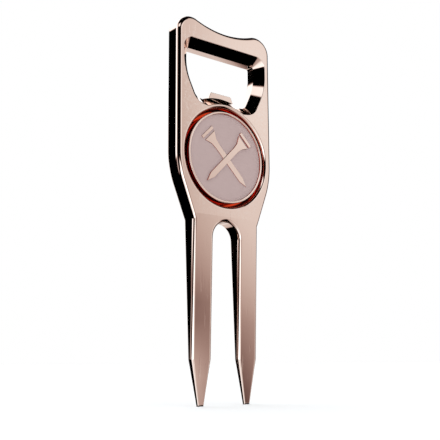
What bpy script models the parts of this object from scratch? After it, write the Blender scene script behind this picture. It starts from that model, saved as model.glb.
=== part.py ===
"""Divot repair tool with a magnetic ball marker and a bottle opener.

The tool stands upright on its two prong tips, with its front face towards -Y. X = 0 is its plane
of symmetry and Y = 0 is the middle of the plate. Meshes are drawn in millimetres, and every
object's scale turns them into metres.
"""

import math

import bmesh
import bpy
from mathutils import Vector

MM = 0.001

# Driving dimensions of the plate
PLATE_THICKNESS = 4.4
HALF_WIDTH = 13.95
WELL_CENTRE_Z = 56.35
EDGE_ROUND = 1.0
PRONG_EDGE_ROUND = 0.75
EDGE_ROUND_SHARE = 0.35
TOP_ARC_RADIUS = 24.6
TOP_ARC_LOW_Z = WELL_CENTRE_Z + 30.7
HORN_RADIUS = 4.1
SHOULDER_TOP_Z = WELL_CENTRE_Z - 4.0
SHOULDER_BOTTOM_Z = WELL_CENTRE_Z - 15.5
SHOULDER_RADIUS = 20.0
PRONG_OUTER_X = 9.42
SLOT_HALF_WIDTH = 3.75
SLOT_ARCH_Z = WELL_CENTRE_Z - 19.1
POINT_START_Z = 10.0
TIP_CENTRE_X = 6.55
TIP_HALF_WIDTH = 0.85

# How far the front and back faces draw in, as (height, inset) from the top down
FRONT_DRAW_IN = ((42.2, 0.0), (POINT_START_Z, 1.07), (0.0, 1.42))
BACK_DRAW_IN = ((54.8, 0.0), (POINT_START_Z, 2.1), (0.0, 2.45))

# Bottle-opener window, relative to the centre of the well: corner points and their radii
BEVEL = 2.05
RING_RADIUS = 12.65
WINDOW_CORNERS = (
    (5.25, 11.485, 0.0),
    (8.7, 11.93, 3.95),
    (12.3, 19.3, 14.2),
    (12.3, 27.25, 2.65),
)
WINDOW_BACK_CHAMFER = 0.38
TONGUE_BASE_HALF = 3.65
TONGUE_TOP_HALF = 3.0
TONGUE_TOP_Z = 15.9
TONGUE_BASE_Z = 14.24
TONGUE_ROOT_Z = 12.9
JOIN_STEP = 0.03

# Well, magnet and its bond
WELL_RADIUS = 12.0
WELL_DEPTH = 2.15
WELL_LIP_CHAMFER = 0.2
MAGNET_RADIUS = 5.0
MAGNET_THICKNESS = 1.2
MAGNET_CHAMFER = 0.15
MAGNET_GAP = 0.05
BOND_THICKNESS = 0.1
BOND_GAP = 0.02

# Ball marker
MARKER_RADIUS = 10.95
MARKER_THICKNESS = 2.1
MARKER_EDGE_CHAMFER = 0.25
FIELD_RADIUS = 10.25
FIELD_DEPTH = 0.75
ENAMEL_THICKNESS = 0.35
ENAMEL_GAP = 0.02
TEE_TOP_BELOW_RIM = 0.05
UNDER_TEE_DROP = 0.1
TEE_ANGLE = 45.0
TEE_CROSSING_DROP = 0.46
TEE_ROOT_DEPTH = 0.3

# Half of one golf tee, from its point to its head: (distance along, half width)
TEE_SHAFT = (
    (-7.9, 0.0),
    (-6.0, 0.68),
    (3.2, 0.68),
    (4.9, 0.92),
    (5.7, 1.22),
    (6.3, 1.65),
    (6.65, 2.05),
    (7.05, 2.2),
)
TEE_HEAD_FROM = 7.5
TEE_HEAD_TO = 8.15
TEE_HEAD_HALF_WIDTH = 1.95

# How far a cutter stands out of the solid that it cuts
CUT_PROUD = 0.5

ARC_STEP_DEGREES = 6.0
ROUND_SEGMENTS = 96
FRONT_Y = -PLATE_THICKNESS / 2
BACK_Y = PLATE_THICKNESS / 2
EDGE_ANGLES = (0.0, 30.0, 60.0, 90.0)


def arc_points(centre, radius, start, end, step=ARC_STEP_DEGREES):
    """Points along an arc from angle start to angle end, both in degrees."""
    count = max(1, math.ceil(abs(end - start) / step))
    points = []
    for index in range(count + 1):
        angle = math.radians(start + (end - start) * index / count)
        x = centre[0] + radius * math.cos(angle)
        z = centre[1] + radius * math.sin(angle)
        points.append((x, z))
    return points


def rounded_corner(before, corner, after, radius):
    """The points of a corner, which is an arc where it has a radius."""
    here = Vector(corner)
    to_before = (Vector(before) - here).normalized()
    to_after = (Vector(after) - here).normalized()
    if radius == 0.0:
        return [tuple(here)]
    half_angle = to_before.angle(to_after) / 2
    centre = here + (to_before + to_after).normalized() * radius / math.sin(half_angle)
    reach = radius / math.tan(half_angle)
    first = here + to_before * reach - centre
    last = here + to_after * reach - centre
    start = math.degrees(math.atan2(first.y, first.x))
    turn = (math.degrees(math.atan2(last.y, last.x)) - start + 180.0) % 360.0 - 180.0
    return arc_points(centre, radius, start, start + turn)


def rounded_path(corners, before, after):
    """An open path through corners of (x, z, radius), between two outer points."""
    places = [before] + [(x, z) for x, z, _ in corners] + [after]
    path = []
    for index, (_, _, radius) in enumerate(corners):
        path += rounded_corner(places[index], places[index + 1], places[index + 2], radius)
    return path


def mirrored(half):
    """A closed outline from its right half, which runs upwards; points on the axis come once."""
    left = [(-x, z) for x, z in reversed(half) if abs(x) > 1e-6]
    return half + left


def inset(outline, distance):
    """An anticlockwise outline moved inwards by distance(z), with mitred corners."""
    count = len(outline)
    moved = []
    for index, (x, z) in enumerate(outline):
        before = Vector(outline[index - 1])
        here = Vector((x, z))
        after = Vector(outline[(index + 1) % count])
        edge_in = (here - before).normalized()
        edge_out = (after - here).normalized()
        normal_in = Vector((-edge_in.y, edge_in.x))
        normal_out = Vector((-edge_out.y, edge_out.x))
        mitre = (normal_in + normal_out) / (1.0 + normal_in.dot(normal_out))
        moved.append(tuple(here + mitre * distance(z)))
    return moved


def raised(outline, height):
    """An outline given from the well's centre, in the frame of the tool."""
    return [(x, z + height) for x, z in outline]


def table_value(table, z):
    """A value from a table of (height, value) with the highest row first."""
    if z >= table[0][0]:
        return table[0][1]
    for (high_z, high), (low_z, low) in zip(table, table[1:]):
        if z >= low_z:
            return low + (high - low) * (z - low_z) / (high_z - low_z)
    return table[-1][1]


def edge_round(z):
    """The radius of the outer edges, which is smaller on the prongs."""
    share = (z - SHOULDER_BOTTOM_Z) / (SHOULDER_TOP_Z - SHOULDER_BOTTOM_Z)
    share = min(1.0, max(0.0, share))
    return PRONG_EDGE_ROUND + (EDGE_ROUND - PRONG_EDGE_ROUND) * share


def plate_outline():
    """The outer outline, anticlockwise from the foot of the slot's arch."""
    arch = arc_points((0.0, SLOT_ARCH_Z), SLOT_HALF_WIDTH, 90.0, 0.0)
    inner_point = (SLOT_HALF_WIDTH, POINT_START_Z)
    tip_inner = (TIP_CENTRE_X - TIP_HALF_WIDTH, 0.0)
    tip_outer = (TIP_CENTRE_X + TIP_HALF_WIDTH, 0.0)
    outer_point = (PRONG_OUTER_X, POINT_START_Z)
    shoulder_foot = (PRONG_OUTER_X, SHOULDER_BOTTOM_Z)
    bend = rounded_corner(
        shoulder_foot,
        (HALF_WIDTH, SHOULDER_TOP_Z),
        (HALF_WIDTH, TOP_ARC_LOW_Z),
        SHOULDER_RADIUS,
    )
    arc_centre_z = TOP_ARC_LOW_Z + TOP_ARC_RADIUS
    horn_x = HALF_WIDTH - HORN_RADIUS
    drop = math.sqrt((TOP_ARC_RADIUS + HORN_RADIUS) ** 2 - horn_x**2)
    horn_centre = (horn_x, arc_centre_z - drop)
    touch = math.degrees(math.atan2(drop, -horn_x))
    horn = arc_points(horn_centre, HORN_RADIUS, 0.0, touch)
    top = arc_points((0.0, arc_centre_z), TOP_ARC_RADIUS, touch - 180.0, -90.0)
    points = [inner_point, tip_inner, tip_outer, outer_point, shoulder_foot]
    half = arch + points + bend + horn + top[1:]
    half[0] = (0.0, half[0][1])
    half[-1] = (0.0, half[-1][1])
    return mirrored(half)


def window_outline():
    """The window's edge on the front face, anticlockwise, from the well's centre."""
    start = math.degrees(math.atan2(WINDOW_CORNERS[0][1], WINDOW_CORNERS[0][0]))
    ring = arc_points((0.0, 0.0), RING_RADIUS, 90.0, start)
    before = ring[-1]
    side = rounded_path(WINDOW_CORNERS, before, (0.0, WINDOW_CORNERS[-1][1]))
    top = [(0.0, WINDOW_CORNERS[-1][1])]
    half = ring[:-1] + side + top
    half[0] = (0.0, half[0][1])
    return mirrored(half)


def tee_outlines():
    """The two outlines of one upright tee: its shaft with the flare, and its head."""
    right = [(half, along) for along, half in TEE_SHAFT]
    left = [(-half, along) for along, half in reversed(TEE_SHAFT[1:])]
    head = [
        (TEE_HEAD_HALF_WIDTH, TEE_HEAD_FROM),
        (TEE_HEAD_HALF_WIDTH, TEE_HEAD_TO),
        (-TEE_HEAD_HALF_WIDTH, TEE_HEAD_TO),
        (-TEE_HEAD_HALF_WIDTH, TEE_HEAD_FROM),
    ]
    return [right + left, head]


def turned(outline, degrees):
    """An outline turned about the origin."""
    angle = math.radians(degrees)
    cos, sin = math.cos(angle), math.sin(angle)
    return [(x * cos - z * sin, x * sin + z * cos) for x, z in outline]


def loft(name, sections, collection):
    """A closed solid through sections of (outline, y), from the front to the back."""
    mesh = bmesh.new()
    rings = []
    for outline, y in sections:
        rings.append([mesh.verts.new((x, y, z)) for x, z in outline])
    for front, back in zip(rings, rings[1:]):
        for index in range(len(front)):
            after = (index + 1) % len(front)
            mesh.faces.new((front[index], back[index], back[after], front[after]))
    mesh.faces.new(rings[0])
    mesh.faces.new(reversed(rings[-1]))
    bmesh.ops.recalc_face_normals(mesh, faces=mesh.faces)
    return mesh_object(name, mesh, collection)


def mesh_object(name, mesh, collection):
    """An object from a bmesh, which is freed."""
    data = bpy.data.meshes.new(name)
    mesh.to_mesh(data)
    mesh.free()
    thing = bpy.data.objects.new(name, data)
    thing.scale = (MM, MM, MM)
    collection.objects.link(thing)
    return thing


def disc(name, radius, front_y, back_y, collection, chamfer=0.0):
    """A disc about the well's axis, with its front edge chamfered where asked."""
    mesh = bmesh.new()
    deep = back_y - front_y
    bmesh.ops.create_cone(
        mesh,
        cap_ends=True,
        segments=ROUND_SEGMENTS,
        radius1=radius,
        radius2=radius,
        depth=deep,
    )
    for vertex in mesh.verts:
        x, y, z = vertex.co
        vertex.co = (x, -z, y)
    mesh.normal_update()
    if chamfer:
        rim = [e for e in mesh.edges if all(v.co.y < 0.0 for v in e.verts)]
        bmesh.ops.bevel(
            mesh,
            geom=rim,
            offset=chamfer,
            segments=2,
            profile=0.5,
            affect="EDGES",
        )
    centre = Vector((0.0, (front_y + back_y) / 2, WELL_CENTRE_Z))
    bmesh.ops.translate(mesh, verts=mesh.verts, vec=centre)
    bmesh.ops.recalc_face_normals(mesh, faces=mesh.faces)
    return mesh_object(name, mesh, collection)


def boolean(thing, cutter, operation="DIFFERENCE"):
    """A Boolean with another object, which is kept in the cutters' collection."""
    modifier = thing.modifiers.new(cutter.name, "BOOLEAN")
    modifier.operation = operation
    modifier.solver = "EXACT"
    modifier.object = cutter


def metal(name, colour, roughness, metallic=1.0):
    """A Principled material."""
    material = bpy.data.materials.new(name)
    material.use_nodes = True
    shader = material.node_tree.nodes["Principled BSDF"]
    shader.inputs["Base Color"].default_value = (*colour, 1.0)
    shader.inputs["Roughness"].default_value = roughness
    shader.inputs["Metallic"].default_value = metallic
    material.diffuse_color = (*colour, 1.0)
    return material


def depth_in_plate(depth, z):
    """The Y of a point that is at some depth in an even plate, once the faces draw in."""
    front = FRONT_Y + table_value(FRONT_DRAW_IN, z)
    back = BACK_Y - table_value(BACK_DRAW_IN, z)
    thickness = back - front
    round_depth = min(edge_round(z), EDGE_ROUND_SHARE * thickness)
    if depth <= EDGE_ROUND:
        return front + depth * round_depth / EDGE_ROUND
    if depth >= PLATE_THICKNESS - EDGE_ROUND:
        return back - (PLATE_THICKNESS - depth) * round_depth / EDGE_ROUND
    share = (depth - EDGE_ROUND) / (PLATE_THICKNESS - 2 * EDGE_ROUND)
    return front + round_depth + share * (thickness - 2 * round_depth)


def make_plate(parts):
    """The plate with rounded edges and drawn-in prongs, before anything is cut in it."""
    outline = plate_outline()
    front_sections = []
    back_sections = []
    for angle in EDGE_ANGLES:
        side = 1.0 - math.sin(math.radians(angle))
        depth = EDGE_ROUND * (1.0 - math.cos(math.radians(angle)))
        section = inset(outline, lambda z, side=side: side * edge_round(z))
        front_sections.append((section, FRONT_Y + depth))
        back_sections.insert(0, (section, BACK_Y - depth))
    plate = loft("tool_body", front_sections + back_sections, parts)
    mesh = bmesh.new()
    mesh.from_mesh(plate.data)
    heights = {z for z, _ in FRONT_DRAW_IN + BACK_DRAW_IN if z > 0.0}
    for z in sorted(heights):
        bmesh.ops.bisect_plane(
            mesh,
            geom=mesh.verts[:] + mesh.edges[:] + mesh.faces[:],
            dist=1e-4,
            plane_co=(0.0, 0.0, z),
            plane_no=(0.0, 0.0, 1.0),
        )
    for vertex in mesh.verts:
        vertex.co.y = depth_in_plate(vertex.co.y - FRONT_Y, vertex.co.z)
    bmesh.ops.triangulate(mesh, faces=[f for f in mesh.faces if len(f.verts) > 4])
    mesh.to_mesh(plate.data)
    mesh.free()
    return plate


def cut_window(plate, cutters):
    """The window, with its bevel towards the front and a chamfer at the back."""
    edge = window_outline()
    proud = CUT_PROUD
    behind = proud + WINDOW_BACK_CHAMFER - BEVEL
    sections = []
    for shift, y in (
        (-proud, FRONT_Y - proud),
        (BEVEL, FRONT_Y + BEVEL),
        (BEVEL, BACK_Y - WINDOW_BACK_CHAMFER),
        (-behind, BACK_Y + proud),
    ):
        section = inset(edge, lambda z, shift=shift: shift)
        sections.append((raised(section, WELL_CENTRE_Z), y))
    boolean(plate, loft("window_cut", sections, cutters))


def add_tongue(plate, cutters):
    """The opener's tongue, which stands on the ring round the well behind the bevel."""
    outline = [
        (-TONGUE_BASE_HALF, TONGUE_ROOT_Z),
        (TONGUE_BASE_HALF, TONGUE_ROOT_Z),
        (TONGUE_BASE_HALF, TONGUE_BASE_Z),
        (TONGUE_TOP_HALF, TONGUE_TOP_Z),
        (-TONGUE_TOP_HALF, TONGUE_TOP_Z),
        (-TONGUE_BASE_HALF, TONGUE_BASE_Z),
    ]
    sections = []
    for shift, y in (
        (0.0, FRONT_Y + BEVEL + JOIN_STEP),
        (0.0, BACK_Y - WINDOW_BACK_CHAMFER),
        (WINDOW_BACK_CHAMFER - JOIN_STEP, BACK_Y - JOIN_STEP),
    ):
        section = inset(outline, lambda z, shift=shift: shift)
        sections.append((raised(section, WELL_CENTRE_Z), y))
    boolean(plate, loft("tongue", sections, cutters), "UNION")


def cut_well(plate, cutters):
    """The marker's well with its broken lip, and the pocket for the magnet in its floor."""
    proud = CUT_PROUD
    pocket_radius = MAGNET_RADIUS + MAGNET_GAP
    pocket_depth = WELL_DEPTH + MAGNET_THICKNESS + BOND_THICKNESS + MAGNET_GAP + 2 * BOND_GAP
    circle = arc_points((0.0, 0.0), 1.0, 0.0, 360.0, 360.0 / ROUND_SEGMENTS)[:-1]
    sections = []
    for radius, depth in (
        (WELL_RADIUS + WELL_LIP_CHAMFER + proud, -proud),
        (WELL_RADIUS, WELL_LIP_CHAMFER),
        (WELL_RADIUS, WELL_DEPTH),
        (pocket_radius, WELL_DEPTH),
        (pocket_radius, pocket_depth),
    ):
        ring = [(x * radius, z * radius) for x, z in circle]
        sections.append((raised(ring, WELL_CENTRE_Z), FRONT_Y + depth))
    boolean(plate, loft("well_cut", sections, cutters))


def make_magnet(parts):
    """The disc magnet in its pocket, and the bond that holds it."""
    top = FRONT_Y + WELL_DEPTH + MAGNET_GAP
    base = top + MAGNET_THICKNESS
    magnet = disc("marker_magnet", MAGNET_RADIUS, top, base, parts, MAGNET_CHAMFER)
    bond_top = base + BOND_GAP
    bond = disc("magnet_bond", MAGNET_RADIUS, bond_top, bond_top + BOND_THICKNESS, parts)
    return magnet, bond


def make_marker(parts, cutters):
    """The struck disc with its rim and two crossed tees, and the enamel round them."""
    front = FRONT_Y
    field = front + FIELD_DEPTH
    back = front + MARKER_THICKNESS
    marker = disc("marker_disc", MARKER_RADIUS, front, back, parts, MARKER_EDGE_CHAMFER)
    boolean(marker, disc("field_cut", FIELD_RADIUS, front - CUT_PROUD, field, cutters))
    enamel_front = field - ENAMEL_GAP - ENAMEL_THICKNESS
    enamel_radius = FIELD_RADIUS - ENAMEL_GAP
    crossing_z = WELL_CENTRE_Z - TEE_CROSSING_DROP
    enamel = disc("marker_enamel", enamel_radius, enamel_front, field - ENAMEL_GAP, parts)
    for index, angle in enumerate((-TEE_ANGLE, TEE_ANGLE)):
        top = front + TEE_TOP_BELOW_RIM + index * UNDER_TEE_DROP
        for number, outline in enumerate(tee_outlines()):
            name = f"tee_{index}_{number}"
            shape = raised(turned(outline, angle), crossing_z)
            sections = [(shape, top), (shape, field + TEE_ROOT_DEPTH)]
            boolean(marker, loft(name, sections, cutters), "UNION")
            clear = inset(outline, lambda z: -ENAMEL_GAP)
            shape = raised(turned(clear, angle), crossing_z)
            sections = [(shape, front - CUT_PROUD), (shape, field + CUT_PROUD)]
            boolean(enamel, loft(name + "_clearance", sections, cutters))
    return marker, enamel


def main():
    for thing in list(bpy.data.objects):
        bpy.data.objects.remove(thing, do_unlink=True)
    parts = bpy.data.collections.new("divot_repair_tool")
    cutters = bpy.data.collections.new("cutters")
    for collection in (parts, cutters):
        bpy.context.scene.collection.children.link(collection)

    plate = make_plate(parts)
    cut_well(plate, cutters)
    cut_window(plate, cutters)
    add_tongue(plate, cutters)
    magnet, bond = make_magnet(parts)
    marker, enamel = make_marker(parts, cutters)

    plate.data.materials.append(metal("rose_gold_plate", (0.93, 0.70, 0.60), 0.06))
    magnet.data.materials.append(metal("nickel_plate", (0.68, 0.66, 0.62), 0.2))
    bond.data.materials.append(metal("clear_epoxy", (0.75, 0.72, 0.62), 0.3, metallic=0.0))
    marker.data.materials.append(metal("rose_gold_marker", (0.93, 0.72, 0.63), 0.08))
    enamel.data.materials.append(metal("mauve_enamel", (0.50, 0.40, 0.38), 0.55, metallic=0.0))

    for cutter in cutters.objects:
        cutter.hide_render = True
        cutter.display_type = "WIRE"


main()
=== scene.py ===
import math

import bmesh
import bpy
from mathutils import Matrix, Vector
from mathutils.geometry import delaunay_2d_cdt


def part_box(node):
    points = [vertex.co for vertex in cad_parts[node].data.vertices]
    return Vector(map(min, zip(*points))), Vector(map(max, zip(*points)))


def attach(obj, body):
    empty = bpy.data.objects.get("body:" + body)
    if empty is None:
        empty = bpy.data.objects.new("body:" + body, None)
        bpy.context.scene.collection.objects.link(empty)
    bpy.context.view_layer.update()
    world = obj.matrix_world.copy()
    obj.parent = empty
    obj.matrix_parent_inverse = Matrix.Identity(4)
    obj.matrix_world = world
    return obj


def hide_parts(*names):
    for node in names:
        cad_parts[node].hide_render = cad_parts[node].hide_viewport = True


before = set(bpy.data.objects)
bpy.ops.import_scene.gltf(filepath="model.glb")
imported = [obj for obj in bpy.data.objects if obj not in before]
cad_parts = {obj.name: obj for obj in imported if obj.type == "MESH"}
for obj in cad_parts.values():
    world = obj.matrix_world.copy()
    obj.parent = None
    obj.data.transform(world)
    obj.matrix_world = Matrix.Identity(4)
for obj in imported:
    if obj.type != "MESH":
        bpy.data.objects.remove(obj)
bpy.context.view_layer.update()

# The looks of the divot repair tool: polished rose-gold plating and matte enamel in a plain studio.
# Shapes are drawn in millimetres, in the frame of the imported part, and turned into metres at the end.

MM = 0.001


def box_mm(node):
    """The lowest and highest corner of a CAD node, in millimetres."""
    low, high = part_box(node)
    return low / MM, high / MM


# Taken from the frame
BODY_LOW, BODY_HIGH = box_mm("tool_body")
MARKER_LOW, MARKER_HIGH = box_mm("marker_disc")
MAGNET_LOW, MAGNET_HIGH = box_mm("marker_magnet")
BOND_LOW, BOND_HIGH = box_mm("magnet_bond")
ENAMEL_LOW, ENAMEL_HIGH = box_mm("marker_enamel")
FRONT_Y = BODY_LOW.y
THICKNESS = BODY_HIGH.y - BODY_LOW.y
HALF_WIDTH = BODY_HIGH.x
WELL_Z = (MARKER_LOW.z + MARKER_HIGH.z) / 2
MARKER_RADIUS = MARKER_HIGH.x
MARKER_THICKNESS = MARKER_HIGH.y - MARKER_LOW.y
MAGNET_RADIUS = MAGNET_HIGH.x

# Plate outline
TOP_ARC_RADIUS = 24.6
TOP_ARC_LOW_Z = WELL_Z + 30.7
HORN_RADIUS = 4.1
SHOULDER_TOP_Z = WELL_Z - 4.0
SHOULDER_BOTTOM_Z = WELL_Z - 15.5
SHOULDER_RADIUS = 20.0
PRONG_OUTER_X = 9.42
SLOT_HALF_WIDTH = 3.75
SLOT_ARCH_Z = WELL_Z - 19.1
POINT_START_Z = 10.0
TIP_CENTRE_X = 6.55
TIP_HALF_WIDTH = 0.85

# Edges and the faces' draw-in towards the tips, as (height, inset) from the top down
EDGE_ROUND = 1.0
PRONG_EDGE_ROUND = 0.75
BACK_ROUND = 0.78
PRONG_BACK_ROUND = 0.3
FRONT_ROUND_SHARE = 0.68
BACK_ROUND_SHARE = 0.2
FRONT_CREASE_Z = 42.2
BACK_CREASE_Z = 54.8
FRONT_DRAW_IN = ((FRONT_CREASE_Z, 0.0), (POINT_START_Z, 1.07), (0.0, 1.42))
BACK_DRAW_IN = ((BACK_CREASE_Z, 0.0), (POINT_START_Z, 2.1), (0.0, 2.45))

# Window and tongue, relative to the centre of the well
BEVEL = 2.05
RING_RADIUS = 12.65
RING_END_ANGLE = 4.0
WINDOW_CORNERS = (
    (5.25, 11.485, 0.0),
    (8.7, 11.93, 3.95),
    (12.3, 19.3, 14.2),
    (12.3, 27.25, 2.65),
)
WINDOW_FRONT_ROUND = 0.3
WINDOW_BACK_ROUND = 0.42
TONGUE_BASE_HALF = 3.65
TONGUE_TOP_HALF = 3.0
TONGUE_TOP_Z = 15.9
TONGUE_CORNER_ROUND = 0.45
TONGUE_EDGE_ROUND = 0.15

# Well and marker
WELL_RADIUS = 11.7
WELL_DEPTH = 2.15
WELL_EDGE_ROUND = 0.75
WELL_FLOOR_ROUND = 0.15
POCKET_DEPTH = 3.6
POCKET_GAP = 0.05
POCKET_ROUND = 0.08
MAGNET_ROUND = 0.15
FIELD_RADIUS = 10.4
FIELD_DEPTH = 0.75
RIM_CROWN = 0.06
RIM_CROWN_ROUND = 0.5
RIM_OUTER_ROUND = 0.14
RIM_INNER_ROUND = 0.08
MARKER_BACK_ROUND = 0.2
TEE_TOP_BELOW_RIM = 0.05
UNDER_TEE_DROP = 0.18
TEE_EDGE_ROUND = 0.06
TEE_ROOT_DEPTH = 0.3
TEE_SHAFT = (
    (-8.5, 0.0),
    (-6.4, 0.72),
    (3.3, 0.72),
    (4.8, 0.88),
    (5.3, 1.1),
    (5.65, 1.3),
    (6.1, 1.53),
    (6.45, 1.74),
    (6.7, 1.87),
)
TEE_HEAD_FROM = 7.26
TEE_HEAD_TO = 8.0
TEE_HEAD_HALF_WIDTH = 2.06
# Each tee's lean and its shift along and across itself; the first lies over the second.
TEES = ((-45.0, 0.12, 0.45), (45.0, -0.12, -0.12))
ENAMEL_GAP = 0.02
MENISCUS_WIDTH = 0.22
MENISCUS_RISE = 0.06

# How finely curves are cut, in degrees a step or steps a turn
ARC_STEP = 2.0
ROUND_STEP = 7.5
TURNED_STEP = 10.0
ROUND_STEPS = 10
SMALL_ROUND_STEPS = 4
TURN_SEGMENTS = 192
# A point this far out gives a path its direction
OUTSIDE = 9.0
# Points this close are the same point
CLOSE = 1e-5
CLOSE_IN_CAP = 1e-7
SHARP_ANGLE = math.radians(12.0)
MARKER_SHARP_ANGLE = math.radians(30.0)
CREASE_ANGLE = math.radians(0.4)
STRONG_FACE = 16384


# ---- outlines, as lists of (x, z) ----

def arc_points(centre, radius, start, end, step=ARC_STEP):
    """Points along an arc from angle start to angle end, both in degrees."""
    count = max(1, math.ceil(abs(end - start) / step))
    points = []
    for index in range(count + 1):
        angle = math.radians(start + (end - start) * index / count)
        points.append((centre[0] + radius * math.cos(angle), centre[1] + radius * math.sin(angle)))
    return points


def rounded_corner(before, corner, after, radius, step=ARC_STEP):
    """The points of a corner, which is an arc where it has a radius."""
    here = Vector(corner)
    to_before = (Vector(before) - here).normalized()
    to_after = (Vector(after) - here).normalized()
    if radius == 0.0:
        return [tuple(here)]
    half_angle = to_before.angle(to_after) / 2
    centre = here + (to_before + to_after).normalized() * radius / math.sin(half_angle)
    reach = radius / math.tan(half_angle)
    first = here + to_before * reach - centre
    last = here + to_after * reach - centre
    start = math.degrees(math.atan2(first.y, first.x))
    turn = (math.degrees(math.atan2(last.y, last.x)) - start + 180.0) % 360.0 - 180.0
    return arc_points(centre, radius, start, start + turn, step)


def rounded_path(corners, before, after, step=ARC_STEP):
    """An open path through corners of (x, z, radius), between two outer points."""
    places = [before] + [(x, z) for x, z, _ in corners] + [after]
    path = []
    for index, (_, _, radius) in enumerate(corners):
        path += rounded_corner(places[index], places[index + 1], places[index + 2], radius, step)
    return path


def mirrored(half):
    """A closed outline from its right half, which runs upwards; points on the axis come once."""
    left = [(-x, z) for x, z in reversed(half) if abs(x) > CLOSE]
    return half + left


def inset(outline, distances):
    """An anticlockwise outline moved inwards by a distance at each point, with mitred corners."""
    count = len(outline)
    moved = []
    for index, (x, z) in enumerate(outline):
        here = Vector((x, z))
        edge_in = (here - Vector(outline[index - 1])).normalized()
        edge_out = (Vector(outline[(index + 1) % count]) - here).normalized()
        normal_in = Vector((-edge_in.y, edge_in.x))
        normal_out = Vector((-edge_out.y, edge_out.x))
        mitre = (normal_in + normal_out) / (1.0 + normal_in.dot(normal_out))
        moved.append(tuple(here + mitre * distances[index]))
    return moved


def evenly_inset(outline, distance):
    return inset(outline, [distance] * len(outline))


def raised(outline, height):
    return [(x, z + height) for x, z in outline]


def turned(outline, degrees):
    """An outline turned about the origin."""
    cos, sin = math.cos(math.radians(degrees)), math.sin(math.radians(degrees))
    return [(x * cos - z * sin, x * sin + z * cos) for x, z in outline]


def table_value(table, z):
    """A value from a table of (height, value) with the highest row first."""
    if z >= table[0][0]:
        return table[0][1]
    for (high_z, high), (low_z, low) in zip(table, table[1:]):
        if z >= low_z:
            return low + (high - low) * (z - low_z) / (high_z - low_z)
    return table[-1][1]


def edge_rounds(z):
    """The radii of the front and back outer edges, which are smaller on the prongs and their points."""
    thickness = THICKNESS - table_value(FRONT_DRAW_IN, z) - table_value(BACK_DRAW_IN, z)
    front = table_value(((SHOULDER_TOP_Z, EDGE_ROUND), (SHOULDER_BOTTOM_Z, PRONG_EDGE_ROUND)), z)
    back = table_value(((SHOULDER_TOP_Z, BACK_ROUND), (SHOULDER_BOTTOM_Z, PRONG_BACK_ROUND)), z)
    return min(front, FRONT_ROUND_SHARE * thickness), min(back, BACK_ROUND_SHARE * thickness)


def plate_outline():
    """The outer outline, anticlockwise from the crown of the slot's arch."""
    arch = arc_points((0.0, SLOT_ARCH_Z), SLOT_HALF_WIDTH, 90.0, 0.0)
    points = [
        (SLOT_HALF_WIDTH, POINT_START_Z),
        (TIP_CENTRE_X - TIP_HALF_WIDTH, 0.0),
        (TIP_CENTRE_X + TIP_HALF_WIDTH, 0.0),
        (PRONG_OUTER_X, POINT_START_Z),
        (PRONG_OUTER_X, SHOULDER_BOTTOM_Z),
    ]
    bend_corner = (HALF_WIDTH, SHOULDER_TOP_Z)
    bend = rounded_corner(points[-1], bend_corner, (HALF_WIDTH, TOP_ARC_LOW_Z), SHOULDER_RADIUS)
    arc_centre_z = TOP_ARC_LOW_Z + TOP_ARC_RADIUS
    horn_x = HALF_WIDTH - HORN_RADIUS
    drop = math.sqrt((TOP_ARC_RADIUS + HORN_RADIUS) ** 2 - horn_x**2)
    touch = math.degrees(math.atan2(drop, -horn_x))
    horn = arc_points((horn_x, arc_centre_z - drop), HORN_RADIUS, 0.0, touch)
    top = arc_points((0.0, arc_centre_z), TOP_ARC_RADIUS, touch - 180.0, -90.0)
    half = arch + points + bend + horn + top[1:]
    half[0] = (0.0, half[0][1])
    half[-1] = (0.0, half[-1][1])
    return mirrored(half)


def window_outline():
    """The window's edge on the front face, anticlockwise, from the well's centre.

    Two of its points lie where the tongue's sides meet the window's wall."""
    side = math.degrees(math.acos(TONGUE_BASE_HALF / (RING_RADIUS + BEVEL)))
    start = math.degrees(math.atan2(WINDOW_CORNERS[0][1], WINDOW_CORNERS[0][0]))
    ring = arc_points((0.0, 0.0), RING_RADIUS, 90.0, side)
    joint = len(ring) - 1
    ring += arc_points((0.0, 0.0), RING_RADIUS, side, start + RING_END_ANGLE)[1:]
    path = rounded_path(WINDOW_CORNERS, ring[-1], (0.0, WINDOW_CORNERS[-1][1]))
    half = ring + path + [(0.0, WINDOW_CORNERS[-1][1])]
    half[0] = (0.0, half[0][1])
    half[-1] = (0.0, half[-1][1])
    return mirrored(half), joint


def tee_outlines(tee, grow=0.0):
    """The two outlines of a tee on the marker: its shaft with the flare, and its head."""
    lean, along_shift, across_shift = tee
    right = [(half, along) for along, half in TEE_SHAFT]
    left = [(-half, along) for along, half in reversed(TEE_SHAFT[1:])]
    head = [
        (TEE_HEAD_HALF_WIDTH, TEE_HEAD_FROM),
        (TEE_HEAD_HALF_WIDTH, TEE_HEAD_TO),
        (-TEE_HEAD_HALF_WIDTH, TEE_HEAD_TO),
        (-TEE_HEAD_HALF_WIDTH, TEE_HEAD_FROM),
    ]
    outlines = []
    for shape in (right + left, head):
        shape = [(x + across_shift, z + along_shift) for x, z in evenly_inset(shape, -grow)]
        outlines.append(raised(turned(shape, lean), WELL_Z))
    return outlines


def is_inside(point, loops):
    """Whether a point is inside an odd number of the loops."""
    x, z = point
    inside = False
    for loop in loops:
        for (ax, az), (bx, bz) in zip(loop, loop[1:] + loop[:1]):
            if (az > z) != (bz > z) and x < ax + (bx - ax) * (z - az) / (bz - az):
                inside = not inside
    return inside


# ---- meshes ----

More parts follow.
